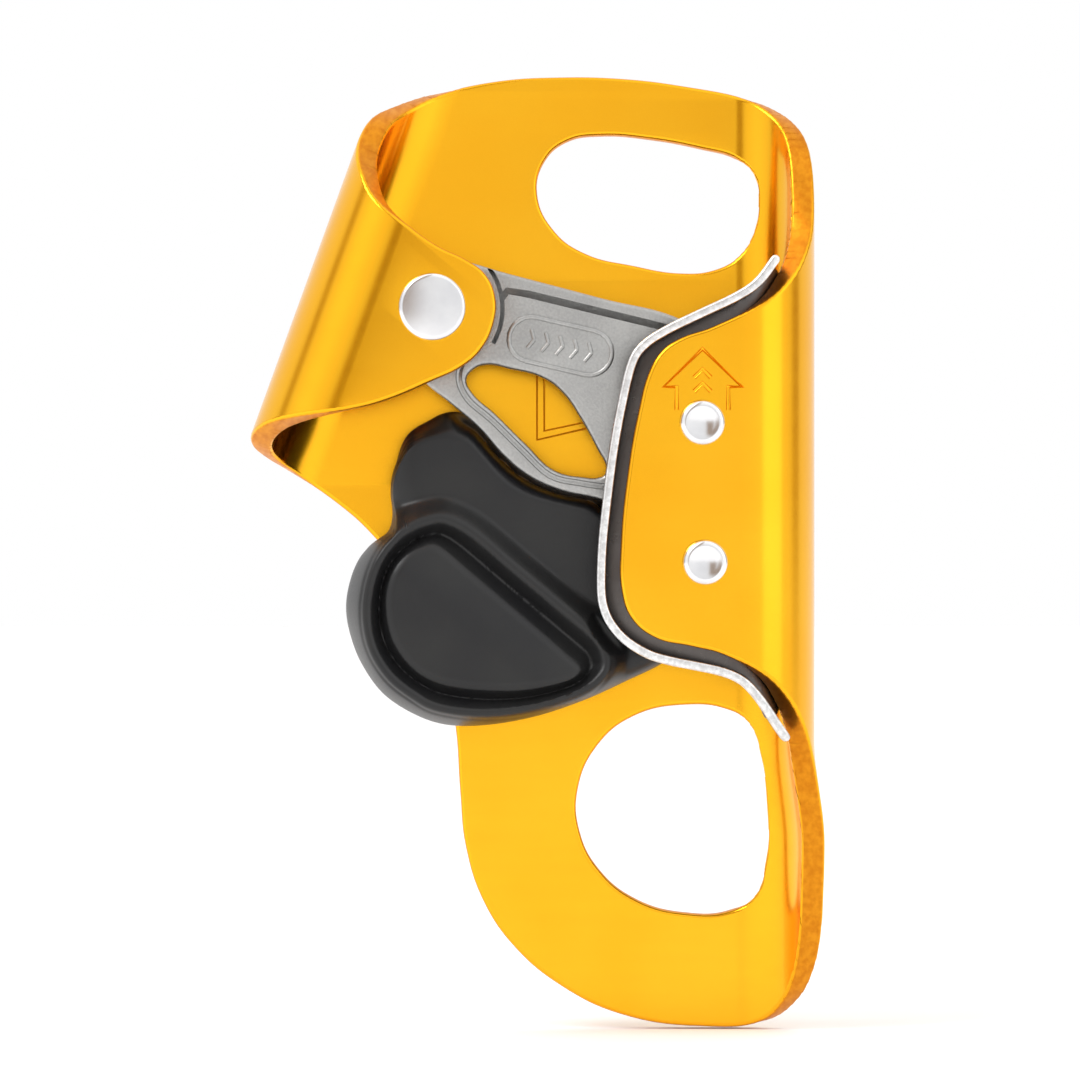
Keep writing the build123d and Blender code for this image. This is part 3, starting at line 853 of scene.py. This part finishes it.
def catchHeight(places, edge):  # front surface of the catch over each place
    plateau = insideDistance(places, smoothPath(catchPart["plateauEdge"], 6, True))
    groove = insideDistance(places, smoothPath(catchPart["groove"], 6, True))
    island = insideDistance(places, smoothPath(catchPart["island"], 6, True))
    out = np.maximum(-plateau, 0)
    beyond = np.maximum(-groove, 0)
    wide = out + np.maximum(edge, 0) + 1e-6
    arm = beforeArm(places)  # there the edge falls further and sooner
    share = np.clip(out / np.maximum(wide - catchPart["armReach"] * arm, catchPart["armLeast"]), 0, 1)
    fall = np.minimum(wide, catchPart["edgeFall"]) * (1 - arm) + catchPart["armFall"] * arm
    height = catchPart["plateau"] - fall * roundedDrop(share)
    inward = (places - np.array(catchPart["chord"])) @ np.array(catchPart["chordAcross"])
    pad = easeIn(inward / catchPart["chordRun"]) * (catchPart["pad"] - catchPart["padLow"])
    pad += catchPart["padLow"] - catchPart["plateau"]
    height += pad * (1 - easeIn((beyond - catchPart["padEdge"]) / catchPart["padBlend"]))
    tight = np.clip(1 - np.maximum(edge, 0) / catchPart["edgeRound"], 0, 1)
    roundOff = (beyond > 0) * easeIn(catchPart["wideFade"] - wide / 2)
    height -= catchPart["edgeRound"] * roundedDrop(tight) * roundOff
    seam = np.exp(-((beyond - catchPart["seamAt"]) / catchPart["seamWide"]) ** 2)
    height -= catchPart["seamDeep"] * seam * easeIn(catchPart["seamFade"] - edge)
    across = np.clip(groove / (np.maximum(groove, 0) + np.maximum(-island, 0) + 1e-6), 0, 1)
    soft = catchPart["valleySoft"]
    sunk = catchPart["grooveDeep"] * np.clip(np.hypot(1, soft) - np.hypot(2 * across - 1, soft), 0, 1)
    soft = catchPart["softEdge"]
    lip = np.clip(1 - beyond / soft, 0, 1) ** 2 * (groove <= 0) + (groove > 0)
    crown = np.clip(1 - np.maximum(island, 0) / (catchPart["crownSoft"] * soft), 0, 1) ** 2
    height -= catchPart["softDrop"] * lip * np.where(island > 0, crown, 1)
    height -= (groove > 0) * (sunk * (across < 1) + catchPart["islandSink"] * easeIn(across))
    return np.minimum(height, underLip(places))


def meetsEar(points):  # places that would meet the ear's bend with the cam open and the catch moving
    tilt = math.radians(sheet["lean"])
    bad = np.zeros(points.shape[:-1], bool)
    for share in np.linspace(0, 1, catchPart["openSteps"]):
        x, z = points[..., 0], points[..., 2]
        for centre, turn in ((camPart["pin"], -catchPart["catchOpen"] * share),
                             (sheet["axle"], catchPart["camOpen"])):
            x, z = turned(x, z, centre, turn)
        across = z * math.sin(tilt) - x * math.cos(tilt) - sheet["earBend"]
        along = z * math.cos(tilt) + x * math.sin(tilt)
        depth = -points[..., 1] - bendDepth
        angle = np.arctan2(np.maximum(across, 0), -depth) / np.pi
        low = catchPart["earFootLow"] + catchPart["earFootRise"] * angle
        outside = np.hypot(across, depth) > catchPart["clearRadius"]
        bad |= (across > 0) & (along > low - catchPart["clearAlong"]) & outside
    return bad


def clearOfEar(points):  # draws those places in towards the catch's middle, evenly along each row
    centre = np.array([catchPart["centre"][0], 0, catchPart["centre"][1]])
    level = np.array([1, 0, 1])
    keep = np.ones(points.shape[:-1])
    for _ in range(catchPart["drawSteps"]):
        bad = meetsEar(points + (centre - points) * (1 - keep)[..., None] * level)
        if not bad.any():
            break
        keep[bad] -= catchPart["drawStep"]
    reach = catchPart["easeColumns"]
    shifts = range(-reach, reach + 1)
    lowest = np.min([np.roll(keep, i, axis=1) for i in shifts], axis=0)
    keep = np.mean([np.roll(lowest, i, axis=1) for i in shifts], axis=0)
    return points + (centre - points) * (1 - keep)[..., None] * level


def catchPoints():
    centre = np.array(catchPart["centre"])
    loop = smoothPath(catchPart["outline"], 12, True)
    angles = np.unwrap(np.arctan2(loop[:, 1] - centre[1], loop[:, 0] - centre[0]))
    reach = np.hypot(*(loop - centre).T)
    order = np.argsort(angles % (2 * np.pi))
    turns = np.linspace(0, 2 * np.pi, catchPart["columns"] + 1)
    radius = np.interp(turns, (angles % (2 * np.pi))[order], reach[order], period=2 * np.pi)
    ring = np.column_stack([np.cos(turns), np.sin(turns)]) * radius[:, None]
    shares = np.linspace(0, 1, catchPart["rows"]) ** catchPart["crowd"]
    top = np.array([centre + ring * share for share in shares])
    flatTop = top.reshape(-1, 2)
    height = catchHeight(flatTop, insideDistance(flatTop, loop)).reshape(top.shape[:2])
    rim = height[-1]
    layers = [np.dstack([top, height])]
    low = catchPart["back"] + catchPart["baseRound"]
    for share in np.linspace(0, 1, catchPart["sideRows"] + 1)[1:]:
        layers.append(np.dstack([top[-1:], (rim + (low - rim) * share)[None]]))
    for turn in np.linspace(0, np.pi / 2, catchPart["roundRows"] + 1)[1:]:
        inset = 1 - catchPart["baseRound"] * (1 - np.cos(turn)) / radius
        layers.append(np.dstack([(centre + ring * inset[:, None])[None],
                                 np.full((1, len(turns)), low - catchPart["baseRound"] * np.sin(turn))]))
    last = 1 - catchPart["baseRound"] / radius
    for share in np.linspace(1, 0, catchPart["baseRows"] + 1)[1:]:
        layers.append(np.dstack([(centre + ring * (last * share)[:, None])[None],
                                 np.full((1, len(turns)), catchPart["back"])]))
    grid = np.concatenate(layers)
    return np.dstack([grid[:, :, 0], -grid[:, :, 2], grid[:, :, 1]])


def makeCatch():
    points = catchPoints()
    rows, columns = points.shape[:2]
    clearSelection()
    bpy.ops.mesh.primitive_grid_add(x_subdivisions=columns - 1, y_subdivisions=rows - 1, size=1)
    piece = bpy.context.object
    piece.name = "thumbCatch"
    places = clearOfEar(points)
    piece.data.vertices.foreach_set("co", (places * mm).ravel())
    piece.data.update()
    mergeDoubles(piece, 0.0004 * mm)
    faceOutward(piece)
    return piece


thumbCatch = makeCatch()
smoothBy(thumbCatch, 50)
finishPiece(thumbCatch, blackPlastic, "safety_catch", "catch_body")
print("catch made", len(thumbCatch.data.vertices))

for name, paint in dict(catch_pin=rivetSteel, thrust_washer_front=springSteel,
                        thrust_washer_rear=springSteel, cam_spring=springSteel,
                        catch_spring=springSteel).items():
    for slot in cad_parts[name].material_slots:
        slot.material = paint

heads = dict(  # axle and rivet heads: flat crown, rounded shoulder
    sides=96, edge=0.01, sunk=0.2,  # sunk: how far a shank goes into its head
    axleRadius=3.68, axleRise=1.25, axleShoulder=0.55, axleShank=2.97, tail=3.88, tailDeep=0.88,
    rivets=["wear_rivet_upper", "wear_rivet_lower"], rivetRadius=2.5, rivetRise=1.1,
    rivetShoulder=0.75, dimple=0.45, dimpleDeep=0.18, shank=1.47, shankFrom=14.0,
)


def addHead(name, x, z, radius, near, far, shoulder):
    head = addRod(name, x, z, radius, near, far, heads["sides"])
    front = -(far - heads["edge"]) * mm
    pickInEdit(head, [v.co.y < front for v in head.data.vertices])
    bpy.ops.mesh.bevel(offset=shoulder * mm, segments=6, affect="EDGES")
    leaveEdit()
    return head


def makeAxle():
    x, z = sheet["axle"]
    head = addHead("axleHead", x, z, heads["axleRadius"], flapFront, flapFront + heads["axleRise"],
                   heads["axleShoulder"])
    shank = addRod("axleShank", x, z, heads["axleShank"], 0, flapFront + heads["sunk"])
    tail = addRod("axleTail", x, z, heads["tail"], 0, heads["tailDeep"])
    pickInEdit(tail, [v.co.y < -heads["tailDeep"] / 2 * mm for v in tail.data.vertices])
    shrink = heads["axleShank"] / heads["tail"]
    bpy.ops.transform.resize(value=(shrink, 1, shrink), center_override=(x * mm, 0, z * mm))
    leaveEdit()
    combine(head, shank, "UNION")
    combine(head, tail, "UNION")
    smoothBy(head, 40)
    return head


def makeRivet(name, x, z):
    far = flapFront + heads["rivetRise"]
    head = addHead(name + "Head", x, z, heads["rivetRadius"], flapFront, far, heads["rivetShoulder"])
    pickInEdit(head, [v.co.y < -(far - heads["edge"]) * mm for v in head.data.vertices])
    bpy.ops.mesh.select_mode(type="FACE")
    bpy.ops.mesh.inset(thickness=heads["dimple"] * mm)
    bpy.ops.transform.translate(value=(0, heads["dimpleDeep"] * mm, 0))
    leaveEdit()
    shank = addRod("shank", x, z, heads["shank"], heads["shankFrom"], flapFront + heads["sunk"])
    combine(head, shank, "UNION")
    smoothBy(head, 50)
    return head


axleHead = makeAxle()
finishPiece(axleHead, rivetSteel, "cam_axle", "frame_body")
for nodeName, place in zip(heads["rivets"], sheet["rivets"]):
    finishPiece(makeRivet(nodeName, *place), rivetSteel, nodeName, "frame_body")
print("heads made")

studio = dict(floorSize=6.0, floorDrop=0.2, eye=(-14.67, -650.0, 29.83), wide=120.0, sensor=36,
              target=(0, 0, 0.03),  # lamps in metres: place, size, power
              lamps=dict(keyLight=((-0.7, -0.5, 0.8), (0.5, 0.5), 5.4),
                         sideLight=((0.69, -0.5, 0.3), (0.5, 0.8), 0.7)),
              # brightness all round: degrees from straight in front of the object, left side below zero
              ring=[(-180, 1.0), (-98, 1.0), (-92, 0.52), (-87, 0.52), (-80, 1.0), (-50, 1.15), (-22, 1.0),
                    (-16, 0.38), (-8, 0.38), (-4, 1.0), (0, 1.0), (50, 1.15), (84, 1.0), (94, 0.5),
                    (100, 0.5), (108, 1.0), (180, 1.0)],
              warm=(1.0, 1.35, 1.7),  # the darker a stretch, the redder it is
              skyFrom=0.3, skyLift=0.5)


def floorPaint():
    paint = Paint("paleFloor", Metallic=0.0, Roughness=0.9)
    cloud = paint.grain(3.0)
    return paint.drive(Base_Color=paint.mix(cloud, (0.93, 0.93, 0.93), (0.96, 0.96, 0.96)))


def makeStudio():
    clearSelection()
    bpy.ops.mesh.primitive_plane_add(size=studio["floorSize"],
                                     location=(0, 0, cadBox[0].z - studio["floorDrop"] * mm))
    floor = bpy.context.object
    floor.name = "floor"
    floor.data.materials.append(floorPaint())


def ringStops():
    return [(degrees / 360 + 0.5, [min(tone, tone ** power) for power in studio["warm"]])
            for degrees, tone in studio["ring"]]


def makeWorld():
    world = bpy.data.worlds.new("studio")
    world.use_nodes = True
    sky = NodeTree(world.node_tree)
    place = sky.node("TexCoord", {}, output="Generated")
    across, along, up = [sky.node("SeparateXYZ", {}, place, output=axis) for axis in "XYZ"]
    around = across.maths("ARCTAN2", across, -1.0 * along)
    ring = sky.node("ValToRGB", {"stops": ringStops()}, around / (2 * math.pi) + 0.5)
    rise = up.maths("MAXIMUM", up - studio["skyFrom"], 0.0)
    background = world.node_tree.nodes["Background"]
    sky.put(background.inputs["Color"], ring)
    sky.put(background.inputs["Strength"], rise * studio["skyLift"] + 1.0)
    bpy.context.scene.world = world


def addSoftbox(name, place, size, power):
    light = bpy.data.lights.new(name, "AREA")
    light.shape = "RECTANGLE"
    light.size, light.size_y = size
    light.energy = power
    lamp = bpy.data.objects.new(name, light)
    lamp.location = place
    aim = Vector(studio["target"]) - Vector(place)
    lamp.rotation_euler = aim.to_track_quat("-Z", "Y").to_euler()
    bpy.context.scene.collection.objects.link(lamp)


def makeCamera():
    camera = bpy.data.cameras.new("camera")
    camera.sensor_width = studio["sensor"]
    camera.lens = studio["sensor"] * -studio["eye"][1] / studio["wide"]
    camera.clip_start, camera.clip_end = 0.01, 20
    body = bpy.data.objects.new("camera", camera)
    body.location = [v * mm for v in studio["eye"]]
    body.rotation_euler = (math.radians(90), 0, 0)
    bpy.context.scene.collection.objects.link(body)
    bpy.context.scene.camera = body


makeStudio()
makeWorld()
for lampName, lampFacts in studio["lamps"].items():
    addSoftbox(lampName, *lampFacts)
makeCamera()
print("studio made")
bpy.context.scene.view_settings.view_transform = "Standard"
